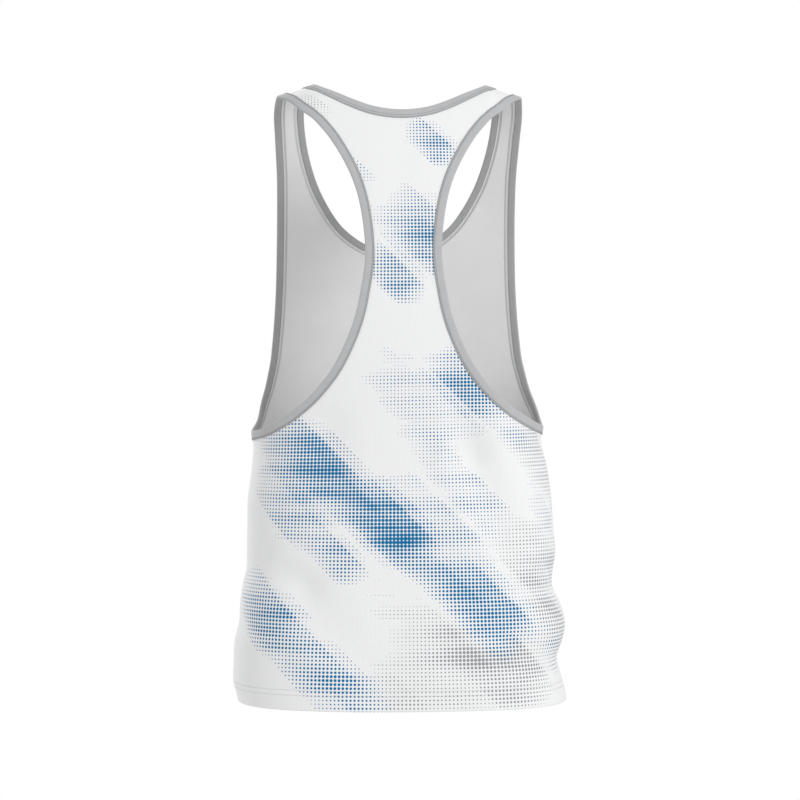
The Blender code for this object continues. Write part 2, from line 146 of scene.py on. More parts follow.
FRONT_FOLDS = (
    Fold(70, -330, 96, -450, 20, -2.5, -5), Fold(96, -450, 104, -585, 24, -5, -3),
    Fold(-66, -340, -84, -470, 22, -3, -5), Fold(-84, -470, -74, -600, 26, -5, -2.5),
    Fold(20, -395, 34, -560, 26, 2.5, 3.5), Fold(-26, -430, -36, -610, 28, 3, 2.5),
    Fold(135, -505, 78, -632, 22, 3, 2), Fold(-176, -634, -122, -615, 16, -5, -2.5),
    Fold(6, -210, 12, -330, 30, -2, -2.5),

    Fold(84, -352, 104, -430, 6, -0.3, -1.1), Fold(-78, -360, -96, -446, 6, -0.3, -1.2),
    Fold(-8, -250, 24, -372, 9, 0.7, 0.4), Fold(120, -590, 76, -650, 7, -0.9, -0.3),
    Fold(-128, -560, -92, -640, 8, 0.9, 0.4), Fold(30, -600, 54, -668, 9, -0.8, -0.5),
)


# %% Curves and the figure line
def ease(share):
    """0 below 0, 1 above 1, and a smooth rise between."""
    share = min(1.0, max(0.0, share))
    return share * share * (3 - 2 * share)


def smooth_value(xs, ys, x):
    """The value at x of a smooth curve through the points, whose xs rise."""
    last = len(xs) - 1
    i = 0
    while i < last - 1 and x > xs[i + 1]:
        i += 1

    def steepness(k):
        low, high = max(0, k - 1), min(last, k + 1)
        return (ys[high] - ys[low]) / (xs[high] - xs[low])

    width = xs[i + 1] - xs[i]
    t = min(1.0, max(0.0, (x - xs[i]) / width))
    start = (2 * t**3 - 3 * t**2 + 1) * ys[i] + (t**3 - 2 * t**2 + t) * width * steepness(i)
    end = (3 * t**2 - 2 * t**3) * ys[i + 1] + (t**3 - t**2) * width * steepness(i + 1)
    return start + end


GIRTH_LEVELS = [row.level for row in GIRTHS]
GIRTH_HALVES = {1: [row.left for row in GIRTHS], -1: [row.right for row in GIRTHS]}


def half_width(level, hand):
    """Half the width of the section at a level, on the left (hand 1) or the right (hand -1)."""
    return smooth_value(GIRTH_LEVELS, GIRTH_HALVES[hand], level)


class FigureLine:
    """The line over the shoulder and down the middle, as lists of its reach out and its level."""

    STEP = 2.0

    def __init__(self, slopes, towards, folds):
        self.towards, self.folds = towards, folds
        self.reaches, self.levels = [0.0], [0.0]
        downs, degrees = [row.down for row in slopes], [row.degrees for row in slopes]
        for n in range(int(downs[-1] / self.STEP)):
            slope = math.radians(smooth_value(downs, degrees, (n + 0.5) * self.STEP))
            self.reaches.append(self.reaches[-1] + self.STEP * math.cos(slope))
            self.levels.append(self.levels[-1] - self.STEP * math.sin(slope))
        self.hem = self.down_at(HEM_LEVEL)

    def read(self, values, down):
        place = min(max(down / self.STEP, 0.0), len(values) - 1.001)
        n = int(place)
        return values[n] + (place - n) * (values[n + 1] - values[n])

    def down_at(self, level):
        """How far down the cloth a level is."""
        n = 0
        while n < len(self.levels) - 2 and self.levels[n + 1] > level:
            n += 1
        share = (level - self.levels[n]) / (self.levels[n + 1] - self.levels[n])
        return (n + share) * self.STEP


BACK = FigureLine(BACK_SLOPES, 1.0, BACK_FOLDS)
FRONT = FigureLine(FRONT_SLOPES, -1.0, FRONT_FOLDS)
print("cloth from shoulder to hem: back %.0f mm, front %.0f mm" % (BACK.hem, FRONT.hem))


# %% A place on the cloth
def section_shares(turn):
    """How far a turn goes out to the side, and how much of the middle's reach is left there."""
    side = (math.sin(turn) + SQUARENESS * math.sin(3 * turn)) / (1 - SQUARENESS)
    reach = (math.cos(turn) - SQUARENESS * math.cos(3 * turn)) / (1 - SQUARENESS)
    return side, reach


def turn_at(across, level, hand):
    """The turn at which the section at a level is so far from the middle."""
    low, high = 0.0, math.pi / 2
    for _ in range(30):
        turn = (low + high) / 2
        if section_shares(turn)[0] * half_width(level, hand) < across:
            low = turn
        else:
            high = turn
    return turn


def fold_height(folds, x, z):
    """How far the folds lift the cloth, seen square on at x and z."""
    height = 0.0
    for fold in folds:
        along_x, along_z = fold.x1 - fold.x0, fold.z1 - fold.z0
        length = math.hypot(along_x, along_z)
        share = ((x - fold.x0) * along_x + (z - fold.z0) * along_z) / length**2
        aside = ((x - fold.x0) * along_z - (z - fold.z0) * along_x) / length
        past = max(0.0, -share, share - 1) * length
        distance = (aside**2 + past**2) / fold.reach**2
        if distance < 9:
            size = fold.height0 + (fold.height1 - fold.height0) * min(1.0, max(0.0, share))
            height += size * math.exp(-distance)
    return height


def bare_point(line, turn, down):
    """A place on the figure in millimetres, before any fold."""
    hand = 1 if turn >= 0 else -1
    side, reach = section_shares(abs(turn))
    level = line.read(line.levels, down)
    half = half_width(level, hand)
    x = hand * side * half
    y = line.towards * reach * line.read(line.reaches, down)
    rise = SHOULDER_FALL * (STRAP_MIDDLE - max(abs(x), SHOULDER_FLAT))
    lean = SIDE_LEAN * ease((LEAN_TOP - level) / (LEAN_TOP - LEAN_MOST)) * x / half
    lean *= 1 - ease((LEAN_MOST - level) / (LEAN_MOST - LEAN_END))
    z = level + SOLID_WALL + rise * (1 - ease(down / SHOULDER_FADE)) - lean
    return Vector((x, y, z))


def slopes_of_cloth(line, turn, down):
    """The cloth's two directions at a place: for each radian of turn, and each millimetre down."""
    small_turn, small_down = 0.002, 0.5
    low, high = max(turn - small_turn, -math.pi / 2), min(turn + small_turn, math.pi / 2)
    top = max(0.0, down - small_down)
    by_turn = (bare_point(line, high, down) - bare_point(line, low, down)) / (high - low)
    by_down = (bare_point(line, turn, down + small_down) - bare_point(line, turn, top)) / (
        down + small_down - top)
    return by_turn, by_down


SEAM_DIP, SEAM_DIP_REACH = 0.7, 1.6    # the cloth rolls in at the side and shoulder seams
HEM_DIP, HEM_DIP_REACH = 0.35, 1.3     # and the hem's stitches draw it in


def cloth_place(line, turn, down, seam_dip=0.0):
    """The outer face of the cloth and its outward normal."""
    by_turn, by_down = slopes_of_cloth(line, turn, down)
    normal = by_turn.cross(by_down) * line.towards
    on_seam = down == 0.0 or abs(turn) >= math.pi / 2
    if on_seam:
        normal.y = 0.0
    normal.normalize()
    point = bare_point(line, turn, down)
    fade = math.cos(turn) ** 0.5 if not on_seam else 0.0
    to_seam = min(down, (math.pi / 2 - abs(turn)) * by_turn.length)
    lift = SOLID_WALL + fold_height(line.folds, point.x, point.z) * fade
    lift -= seam_dip * math.exp(-(to_seam / SEAM_DIP_REACH) ** 2)
    if seam_dip:
        lift -= sum(HEM_DIP * math.exp(-((line.hem - down - up) / HEM_DIP_REACH) ** 2)
                    for up in HEM_STITCH_ROWS)
    return point + normal * lift, normal


# %% [markdown]
# ## Cutting the panels
#
# A cutter's pattern has straight and curved edges that bindings and seams will cover. Here the
# edges are spaced evenly, and a second line runs a band's width inside them, so that the band can
# be folded over cloth that lies flat under it.

# %% Edges of a half panel
def edge_stations(line, rows, hand):
    """The turn and the down of each row of an edge's table."""
    stations = []
    for row in rows:
        turn = math.pi / 2 if row.across is None else turn_at(row.across, row.level, hand)
        stations.append((turn, line.down_at(row.level)))
    return stations


def spaced_along(stations, count):
    """count + 1 places at even distances along a smooth edge through its stations."""
    travelled = [0.0]
    for (turn0, down0), (turn1, down1) in zip(stations, stations[1:]):
        travelled.append(travelled[-1] + math.hypot((turn1 - turn0) * MEAN_REACH, down1 - down0))
    places = []
    for n in range(count + 1):
        at = travelled[-1] * n / count
        places.append(tuple(smooth_value(travelled, [s[k] for s in stations], at) for k in (0, 1)))
    places[0], places[-1] = stations[0], stations[-1]
    return places


def inside_line(line, edge, inward, distance=BINDING_WIDTH):
    """The places so far into the cloth from each place of an edge. inward is 1 where the cloth
    lies at a larger turn than the edge, as at the neck, and -1 at the armhole."""
    places = []
    for n, (turn, down) in enumerate(edge):
        by_turn, by_down = slopes_of_cloth(line, turn, down)
        before, after = edge[max(0, n - 1)], edge[min(len(edge) - 1, n + 1)]
        along = (after[0] - before[0]) * by_turn + (after[1] - before[1]) * by_down
        away = along.cross(by_down.cross(by_turn)).normalized() * inward
        on_side, on_shoulder = turn in (0.0, math.pi / 2), down == 0.0
        if on_side:
            away = by_down.normalized()
        if on_shoulder:
            away = by_turn.normalized() * inward
        tt, dd, td = by_turn.dot(by_turn), by_down.dot(by_down), by_turn.dot(by_down)
        at, ad = away.dot(by_turn), away.dot(by_down)
        spread = tt * dd - td * td
        step_turn = 0.0 if on_side else (at * dd - ad * td) / spread
        step_down = 0.0 if on_shoulder else (ad * tt - at * td) / spread
        places.append((turn + step_turn * distance, down + step_down * distance))
    return places


COLUMNS = 44           # faces across half a panel
ROW = 4.6              # about this much cloth in a row of faces
ROW_EVENNESS = 0.25
SEAM_COLUMNS = (5.0, 2.4, 1.0)   # the last columns lie this far from the side seam
HEM_STITCH_ROWS = (15.4, 20.8)   # above the lower edge
HEM_ROWS = (0, 1.6, 5, 9.5, 13.4, 15.4, 17.4, 19.1, 20.8, 22.6, 26)


class HalfPanel:
    """Half a panel as cut: rows of places from its middle to its side, with the bound edges."""

    def __init__(self, line, armhole, neck, hand, beside=None):
        self.line, self.hand = line, hand
        strap_rows = max(6, round(self.length(edge_stations(line, neck, hand)) / ROW))
        arm_rows = round(self.length(edge_stations(line, armhole, hand)) / ROW) - strap_rows
        self.arm_edge = spaced_along(edge_stations(line, armhole, hand), arm_rows + strap_rows)
        self.neck_edge = spaced_along(edge_stations(line, neck, hand), strap_rows)
        self.arm_inside = inside_line(line, self.arm_edge, -1)
        self.neck_inside = inside_line(line, self.neck_edge, 1)
        underarm, neck_base = self.arm_inside[0][1], self.neck_inside[0][1]
        self.hem = line.hem
        near_hem = [self.hem - up for up in HEM_ROWS]
        side_rows = round((near_hem[-1] - underarm) / ROW)
        downs = [self.hem + past for past in self.turned_lengths()] + near_hem
        downs += [near_hem[-1] + (underarm - near_hem[-1]) * n / side_rows
                  for n in range(1, side_rows)]
        self.underarm_row = len(downs)
        rows = [((0.0, down), (math.pi / 2, down)) for down in downs]
        for n, outer in enumerate(self.arm_inside):
            if n <= arm_rows:
                risen = (outer[1] - underarm) / (self.arm_inside[arm_rows][1] - underarm)
                share = risen + (n / arm_rows - risen) * ROW_EVENNESS
                inner = (0.0, underarm + (neck_base - underarm) * share)
            else:
                inner = self.neck_inside[n - arm_rows]
            rows.append((inner, outer))
        self.neck_row = self.underarm_row + arm_rows
        if beside:      # both halves share the places on the middle line
            rows = [(beside.rows[n][0] if n <= self.neck_row else inner, outer)
                    for n, (inner, outer) in enumerate(rows)]
        self.rows = [self.filled(*ends) for ends in rows]

    @staticmethod
    def length(stations):
        return sum(math.hypot((a[0] - b[0]) * MEAN_REACH, a[1] - b[1])
                   for a, b in zip(stations, stations[1:]))

    @staticmethod
    def turned_lengths():
        """Lengths past the lower edge, from the turned cloth's raw edge back to the fold."""
        fold = math.pi * HEM_FOLD
        flat = [fold + HEM_DEPTH - HEM_FOLD - n * (HEM_DEPTH - HEM_FOLD) / 5 for n in range(5)]
        return flat + [fold * share for share in (1.0, 0.75, 0.5, 0.25)]

    def filled(self, inner, outer):
        """The places of one row, from the middle or the neck to the side or the armhole."""
        wide = max(30.0, (outer[0] - inner[0]) * MEAN_REACH)
        ends = [1 - gap / wide for gap in SEAM_COLUMNS]
        shares = [ends[0] * n / COLUMNS for n in range(COLUMNS)] + ends + [1.0]
        return [tuple(inner[k] + (outer[k] - inner[k]) * share for k in (0, 1)) for share in shares]

    def place(self, turn_and_down, seam_dip=0.0):
        """The outer face and its normal, following the turned hem past the lower edge."""
        turn, down = turn_and_down
        past = down - self.hem
        if past <= 1e-6:
            return cloth_place(self.line, self.hand * turn, down, seam_dip)
        fold = math.pi * HEM_FOLD
        angle = min(math.pi, past / HEM_FOLD)
        up = max(0.0, past - fold)
        drop = HEM_FOLD * math.sin(angle)
        level, normal = cloth_place(self.line, self.hand * turn, self.hem - up, seam_dip)
        by_down = slopes_of_cloth(self.line, self.hand * turn, self.hem)[1].normalized()
        return level - normal * HEM_FOLD * (1 - math.cos(angle)) + by_down * drop, normal


def both_halves(line, armhole, neck):
    left = HalfPanel(line, armhole, neck, 1)
    return {1: left, -1: HalfPanel(line, armhole, neck, -1, beside=left)}


backs = both_halves(BACK, BACK_ARMHOLE, BACK_NECK)
fronts = both_halves(FRONT, FRONT_ARMHOLE, FRONT_NECK)
print("rows: back %d, front %d" % (len(backs[1].rows), len(fronts[1].rows)))


# %% [markdown]
# ## The print's own coordinates
#
# A print is laid on the flat cloth before it is cut, so its grid has to follow the cloth round the
# body. Each panel gets a UV map counted in dots: one unit across or down is one cell of the
# halftone. The cells are a little smaller at the shoulders than at the hem.

# %% Dots across and down
Pitch = namedtuple("Pitch", "down size")
PITCHES = (Pitch(0, 3.55), Pitch(120, 3.62), Pitch(300, 3.75), Pitch(450, 3.9), Pitch(720, 4.25))
PITCH_DOWNS, PITCH_SIZES = [row.down for row in PITCHES], [row.size for row in PITCHES]
PRINT_LENGTH, TURN_STEPS, DOWN_STEP = 740, 32, 12.0


class PrintMap:
    """Turns a place on the cloth into dots across and dots down."""

    def __init__(self, line):
        self.line = line
        self.rows = {hand: [] for hand in (1, -1)}
        self.dots_down = [0.0]
        for n in range(int(PRINT_LENGTH / DOWN_STEP) + 2):
            down = n * DOWN_STEP
            pitch = smooth_value(PITCH_DOWNS, PITCH_SIZES, down)
            self.dots_down.append(self.dots_down[-1] + DOWN_STEP / pitch)
            for hand, rows in self.rows.items():
                across, before = [0.0], bare_point(line, 0.0, down)
                for k in range(1, TURN_STEPS + 1):
                    here = bare_point(line, hand * k / TURN_STEPS * math.pi / 2, down)
                    across.append(across[-1] + (here - before).length / pitch)
                    before = here
                rows.append(across)

    def dots(self, hand, turn, down):
        row = min(max(down / DOWN_STEP, 0.0), len(self.rows[hand]) - 1.001)
        n, part = int(row), row - int(row)
        step = min(turn / (math.pi / 2) * TURN_STEPS, TURN_STEPS - 0.001)
        k, beside = int(step), step - int(step)

        def across(r):
            return self.rows[hand][r][k] * (1 - beside) + self.rows[hand][r][k + 1] * beside

        u = across(n) * (1 - part) + across(n + 1) * part
        v = self.dots_down[n] * (1 - part) + self.dots_down[n + 1] * part
        return -hand * self.line.towards * u, v


back_print, front_print = PrintMap(BACK), PrintMap(FRONT)

# %% [markdown]
# ## Wiring materials
#
# Shader nodes can be wired by hand in the editor. Here a few small helpers do it, so that each
# finish below reads as a short recipe. An effect that several finishes share becomes a node group
# with named inputs and outputs.

# %% Node helpers
def link_or_set(tree, socket, value):
    """Joins an output to a socket, or sets the socket where the value is a plain one."""
    if isinstance(value, bpy.types.NodeSocket):
        tree.links.new(value, socket)
    else:
        socket.default_value = value


def math_node(tree, operation, *values, clamp=False):
    node = tree.nodes.new("ShaderNodeMath")
    node.operation, node.use_clamp = operation, clamp
    for socket, value in zip(node.inputs, values):
        link_or_set(tree, socket, value)
    return node.outputs[0]


def vector_node(tree, operation, *values, output=0):
    node = tree.nodes.new("ShaderNodeVectorMath")
    node.operation = operation
    for socket, value in zip(node.inputs, values):
        link_or_set(tree, socket, value)
    return node.outputs[output]


def ramp_between(tree, value, low, high, low_out=0.0, high_out=1.0):
    """A smooth rise from one output to the other as the value goes from low to high."""
    node = tree.nodes.new("ShaderNodeMapRange")
    node.interpolation_type = "SMOOTHSTEP"
    for socket, given in zip(node.inputs, (value, low, high, low_out, high_out)):
        link_or_set(tree, socket, given)
    return node.outputs[0]


def mix_colour(tree, factor, first, second):
    node = tree.nodes.new("ShaderNodeMix")
    node.data_type = "RGBA"
    link_or_set(tree, node.inputs["Factor"], factor)
    link_or_set(tree, node.inputs[6], first)
    link_or_set(tree, node.inputs[7], second)
    return node.outputs[2]


def noise_node(tree, vector, scale, detail=2.0):
    node = tree.nodes.new("ShaderNodeTexNoise")
    link_or_set(tree, node.inputs["Vector"], vector)
    node.inputs["Scale"].default_value, node.inputs["Detail"].default_value = scale, detail
    return node.outputs["Fac"]


def new_group(name, inputs, outputs):
    """An empty node group: inputs and outputs are pairs of a name and a socket type."""
    tree = bpy.data.node_groups.new(name, "ShaderNodeTree")
    for way, sockets in (("INPUT", inputs), ("OUTPUT", outputs)):
        for label, kind in sockets:
            tree.interface.new_socket(name=label, in_out=way, socket_type="NodeSocket" + kind)
    entry, leave = tree.nodes.new("NodeGroupInput"), tree.nodes.new("NodeGroupOutput")
    return tree, entry.outputs, leave.inputs


def place_group(tree, group, **values):
    """Places a group in a tree. Underscores in the names given stand for spaces."""
    node = tree.nodes.new("ShaderNodeGroup")
    node.node_tree = group
    for label, value in values.items():
        link_or_set(tree, node.inputs[label.replace("_", " ")], value)
    return node.outputs


# %% [markdown]
# ## Light jersey
#
# Sports jersey is a fine weft knit: rows of tiny loops with upright ribs. They are far too many to
# model, so they go into a bump. The hollows between the loops are also painted up to 7% darker in
# the colour, as painted shade, and a faint noise adds a random tone. The loops are counted on the
# cloth's own map, so that they turn and stretch with it.

# %% The knit group
knit_group, given, result = new_group(
    "jersey_knit", (("Vector", "Vector"), ("Across", "Float"), ("Down", "Float")),
    (("Height", "Float"), ("Shade", "Float")))
parts = knit_group.nodes.new("ShaderNodeSeparateXYZ")
knit_group.links.new(given["Vector"], parts.inputs[0])
loops_down = math_node(knit_group, "MULTIPLY", parts.outputs["Y"], given["Down"])
lean = math_node(knit_group, "MULTIPLY",
                 math_node(knit_group, "PINGPONG", loops_down, 0.5), 0.5)
loops_across = math_node(knit_group, "MULTIPLY_ADD", parts.outputs["X"], given["Across"], lean)
rib_wave, row_wave = [
    math_node(knit_group, "ABSOLUTE", math_node(
        knit_group, "SINE", math_node(knit_group, "MULTIPLY", loops, math.pi)))
    for loops in (loops_across, loops_down)]
height = math_node(knit_group, "MULTIPLY", rib_wave,
                   math_node(knit_group, "MULTIPLY_ADD", row_wave, 0.45, 0.55))
uneven = noise_node(knit_group, given["Vector"], 0.9)
knit_group.links.new(height, result["Height"])
# The Shade output is painted shade: the knit's low parts up to 7% darker, plus a faint random tone
# from the noise.
shade = math_node(knit_group, "ADD", ramp_between(knit_group, height, 0.05, 0.7, 0.93, 1.0),
                  math_node(knit_group, "MULTIPLY_ADD", uneven, 0.04, -0.02))
knit_group.links.new(shade, result["Shade"])
print("knit group:", len(knit_group.nodes), "nodes")

# %% [markdown]
# ## A halftone print
#
# The print is made of dots on a square grid, which grow where the ink is stronger. To keep each dot
# round, the ink is looked up once for the middle of its cell, and the dot's edge is drawn from the
# distance to that middle. The ink itself is a set of slanting brush marks. Two colour ramps hold
# how strong a mark is across its width and along its length: one long edge is crisp, the other
# washes out, and the ends fade. The layout was made for this vest, row by row.

# %% The print's cells
cell_group, given, result = new_group(
    "print_cell", (("Vector", "Vector"),), (("Middle", "Vector"), ("Distance", "Float")))
floor_of = vector_node(cell_group, "FLOOR", given["Vector"])
middle_of = vector_node(cell_group, "ADD", floor_of, (0.5, 0.5, 0.0))
flat_vector = vector_node(cell_group, "MULTIPLY", given["Vector"], (1.0, 1.0, 0.0))
flat_middle = vector_node(cell_group, "MULTIPLY", middle_of, (1.0, 1.0, 0.0))
cell_group.links.new(flat_middle, result["Middle"])
cell_group.links.new(vector_node(cell_group, "DISTANCE", flat_vector, flat_middle, output=1),
                     result["Distance"])

# %% One brush mark, and the dot that its ink makes
ACROSS_MARK = ((0.0, 0.0), (0.18, 0.03), (0.27, 0.12), (0.285, 0.38), (0.40, 0.85), (0.52, 1.0),
               (0.685, 1.0), (0.71, 0.36), (0.79, 0.24), (0.80, 0.04), (0.86, 0.0), (1.0, 0.0))
ALONG_MARK = ((0.0, 0.0), (0.2, 0.1), (0.42, 0.62), (0.60, 1.0), (0.74, 0.92), (0.88, 0.3),
              (1.0, 0.0))


def strength_ramp(tree, share, stops):
    """A colour ramp whose stops are pairs of a place and a strength."""
    node = tree.nodes.new("ShaderNodeValToRGB")
    ramp = node.color_ramp
    while len(ramp.elements) < len(stops):
        ramp.elements.new(0.5)
    for element, (place, strength) in zip(ramp.elements, stops):
        element.position, element.color = place, (strength, strength, strength, 1)
    tree.links.new(share, node.inputs[0])
    return node.outputs[0]


DIAGONAL = 0.7071      # marks slant along one diagonal of the cells
mark_group, given, result = new_group(
    "brush_mark",
    (("Middle", "Vector"), ("Centre", "Vector"), ("Half length", "Float"),
     ("Half width", "Float"), ("Ink", "Float")), (("Cover", "Float"),))
away = vector_node(mark_group, "SUBTRACT", given["Middle"], given["Centre"])
cover = given["Ink"]
for way, half, scale, stops in (((DIAGONAL, -DIAGONAL, 0.0), "Half width", 0.2, ACROSS_MARK),
                                ((DIAGONAL, DIAGONAL, 0.0), "Half length", 0.5, ALONG_MARK)):
    distance = vector_node(mark_group, "DOT_PRODUCT", away, way, output=1)
    share = math_node(mark_group, "MULTIPLY_ADD",
                      math_node(mark_group, "DIVIDE", distance, given[half]), scale, 0.5,
                      clamp=True)
    cover = math_node(mark_group, "MULTIPLY", cover, strength_ramp(mark_group, share, stops))
mark_group.links.new(cover, result["Cover"])

FULL_RADIUS, RADIUS_POWER, DOT_EDGE, NO_INK = 0.56, 0.42, 0.06, 0.012    # in cells
dot_group, given, result = new_group(
    "halftone_dot", (("Distance", "Float"), ("Cover", "Float")), (("Mask", "Float"),))
radius = math_node(dot_group, "MULTIPLY",
                   math_node(dot_group, "POWER", given["Cover"], RADIUS_POWER), FULL_RADIUS)
edge = math_node(dot_group, "SUBTRACT", radius, given["Distance"])
mask = ramp_between(dot_group, edge, -DOT_EDGE, DOT_EDGE)
some_ink = math_node(dot_group, "GREATER_THAN", given["Cover"], NO_INK)
dot_group.links.new(math_node(dot_group, "MULTIPLY", mask, some_ink), result["Mask"])
print("print groups:", cell_group.name, mark_group.name, dot_group.name)

# %% The layout of the brush marks
# In dots, from the middle line and down from the shoulder. A half width below 0 turns a mark's
# crisp edge from its upper side to its lower side.
Mark = namedtuple("Mark", "across down half_length half_width ink")
BACK_BLUE = (
    Mark(7, 27, 13, 4, 0.50), Mark(-15, 36, 12, 2.6, 0.14), Mark(-29, 20, 13, 3, 0.14),
    Mark(1, 52, 20, 8, 0.34), Mark(7, 60, 16, 5, 0.42), Mark(-5, 67, 15, 4.4, 0.46),
    Mark(17, 97, 18, -6, 0.50), Mark(2, 104, 30, 9, 0.16), Mark(27, 110, 20, 3, 0.20),
    Mark(-31, 118, 26, 8, 0.52), Mark(-20, 128, 30, 5, 0.34), Mark(-36, 130, 20, -6, 0.34),
    Mark(-22, 144, 18, 4, 0.36), Mark(-6, 137, 18, 6, 0.66), Mark(2, 138, 34, 10, 0.22),
    Mark(14, 126, 28, 5, 0.20), Mark(20, 160, 20, 7, 0.52), Mark(8, 152, 26, 4, 0.18),
    Mark(38, 134, 18, 4, 0.16), Mark(-42, 160, 22, 7, 0.38), Mark(-28, 172, 24, 6, 0.34),
    Mark(-14, 180, 18, -5, 0.24), Mark(40, 170, 20, 4, 0.16), Mark(-10, 92, 22, 6, 0.07),
)
BACK_GREY = (
    Mark(-30, 14, 18, 4, 0.18), Mark(-15, 47, 17, 3, 0.12), Mark(18, 31, 14, 3, 0.16),
    Mark(31, 112, 26, 6, 0.16), Mark(43, 124, 28, 6, 0.20), Mark(34, 146, 28, -7, 0.26),
    Mark(22, 172, 26, 8, 0.46), Mark(6, 172, 26, 9, 0.28), Mark(40, 164, 24, 6, 0.34),
    Mark(-6, 184, 20, 7, 0.22), Mark(47, 148, 26, 5, 0.26), Mark(-14, 152, 24, 5, 0.07),
)
FRONT_BLUE = (
    Mark(27, 18, 14, 4, 0.34), Mark(-30, 42, 20, 5, 0.26), Mark(-12, 66, 19, 7, 0.54),
    Mark(0, 74, 28, 8, 0.18), Mark(22, 62, 18, 5, 0.36), Mark(31, 86, 22, 7, 0.44),
    Mark(14, 98, 28, 8, 0.18), Mark(-34, 96, 22, -5, 0.30), Mark(-20, 114, 24, 7, 0.56),
    Mark(-6, 118, 28, 5, 0.24), Mark(10, 134, 22, 7, 0.38), Mark(33, 128, 22, 6, 0.32),
    Mark(-41, 138, 22, 7, 0.42), Mark(-24, 156, 24, 5, 0.26), Mark(4, 162, 22, 7, 0.52),
    Mark(20, 172, 22, -5, 0.26), Mark(42, 158, 20, 5, 0.22), Mark(-12, 180, 18, 6, 0.30),
)
FRONT_GREY = (
    Mark(-28, 18, 17, 4, 0.20), Mark(10, 60, 20, 5, 0.14), Mark(-22, 84, 26, 6, 0.20),
    Mark(4, 94, 22, 5, 0.16), Mark(42, 108, 24, 7, 0.26), Mark(-34, 122, 24, 5, 0.18),
    Mark(22, 148, 26, 8, 0.34), Mark(-8, 146, 24, -6, 0.18), Mark(36, 174, 22, 7, 0.38),
    Mark(-36, 172, 24, 8, 0.30), Mark(-2, 186, 20, 6, 0.26),
)
print("marks: back %d, front %d" % (len(BACK_BLUE + BACK_GREY), len(FRONT_BLUE + FRONT_GREY)))

# %% The printed jersey
WHITE_CLOTH = (0.757, 0.76, 0.765, 1)
BLUE_INK = (0.0, 0.135, 0.31, 1)
GREY_INK = (0.26, 0.275, 0.29, 1)
BARE_BELOW = 0.07       # fainter ink than this prints nothing


def ink_cover(tree, middle, marks):
    """All the marks of one ink, added up, and broken up a little along their slant."""
    total = 0.0
    for mark in marks:
        placed = place_group(tree, mark_group, Middle=middle, Centre=(mark.across, mark.down, 0),
                             Half_length=mark.half_length, Half_width=mark.half_width,
                             Ink=mark.ink)
        total = math_node(tree, "ADD", total, placed["Cover"])
    turned = tree.nodes.new("ShaderNodeMapping")
    turned.inputs["Rotation"].default_value = (0, 0, -math.pi / 4)
    turned.inputs["Scale"].default_value = (0.028, 0.22, 1.0)
    tree.links.new(middle, turned.inputs["Vector"])
    streaky = ramp_between(tree, noise_node(tree, turned.outputs[0], 1.0), 0.3, 0.7, 0.55, 1.25)
    broken = math_node(tree, "MULTIPLY", total, streaky)
    return math_node(tree, "SUBTRACT", broken, BARE_BELOW, clamp=True)


def new_finish(name, roughness, sheen=0.0):
    material = bpy.data.materials.new(name)
    material.use_nodes = True
    tree = material.node_tree
    shader = tree.nodes["Principled BSDF"]
    for label, value in (("Roughness", roughness), ("Specular IOR Level", 0.15),
                         ("Sheen Weight", sheen), ("Sheen Roughness", 0.5)):
        shader.inputs[label].default_value = value
    return material, tree, shader


def knit_bump(tree, shader, vector, across, down, strength, depth):
    """Adds the knit to a finish, with so many loops for each unit of its map, and gives back its
    shade: painted shade that darkens the hollows between the loops, with a faint random tone."""
    knit = place_group(tree, knit_group, Vector=vector, Across=across, Down=down)
    bump = tree.nodes.new("ShaderNodeBump")
    bump.inputs["Strength"].default_value, bump.inputs["Distance"].default_value = strength, depth
    tree.links.new(knit["Height"], bump.inputs["Height"])
    tree.links.new(bump.outputs[0], shader.inputs["Normal"])
    return knit["Shade"]


def shaded(tree, shader, colour, shade):
    tree.links.new(vector_node(tree, "MULTIPLY", colour, shade), shader.inputs["Base Color"])


def uv_of(tree, name):
    node = tree.nodes.new("ShaderNodeUVMap")
    node.uv_map = name
    return node.outputs[0]


def printed_jersey(name, blue, grey):
    material, tree, shader = new_finish(name, 0.85, 0.03)
    dots = uv_of(tree, "dots")
    cell = place_group(tree, cell_group, Vector=dots)
    masks = [place_group(tree, dot_group, Distance=cell["Distance"],
                         Cover=ink_cover(tree, cell["Middle"], marks))["Mask"]
             for marks in (grey, blue)]
    inked = mix_colour(tree, masks[0], WHITE_CLOTH, GREY_INK)
    inked = mix_colour(tree, masks[1], inked, BLUE_INK)
    shaded(tree, shader, inked, knit_bump(tree, shader, dots, 3.0, 3.5, 0.35, 0.0002))
    return material


def plain_knit(name, colour, uv_name, across, down, roughness=0.85, strength=0.4, depth=0.0003):
    material, tree, shader = new_finish(name, roughness, 0.1)
    vector = uv_of(tree, uv_name)
    shade = knit_bump(tree, shader, vector, across, down, strength, depth)
    cloudy = noise_node(tree, vector, 0.07, 3.0)
    # The knit's painted shade, times a cloudy random tone.
    painted_shade_and_tone = math_node(tree, "MULTIPLY", shade, ramp_between(tree, cloudy, 0.25, 0.75, 0.97, 1.02))
    shaded(tree, shader, colour, painted_shade_and_tone)
    return material


back_print_cloth = printed_jersey("printed_jersey_back", BACK_BLUE, BACK_GREY)
front_print_cloth = printed_jersey("printed_jersey_front", FRONT_BLUE, FRONT_GREY)
# The inside is the same white jersey, painted darker than the outside's white: painted shade for
# the vest's hollow inside.
painted_shade_inside_cloth = plain_knit("plain_jersey_inside_painted_shade", (0.70, 0.70, 0.70), "dots", 3.0, 3.5)
rib_cloth = plain_knit("rib_knit", (0.425, 0.428, 0.435), "band", 0.55, 0.9)
# The band's inner leg is the same rib knit painted darker: painted shade.
rib_inside_painted_shade = plain_knit("rib_knit_painted_shade_inside", (0.345, 0.347, 0.353), "band", 0.55, 0.9)
print("finishes:", [material.name for material in bpy.data.materials])

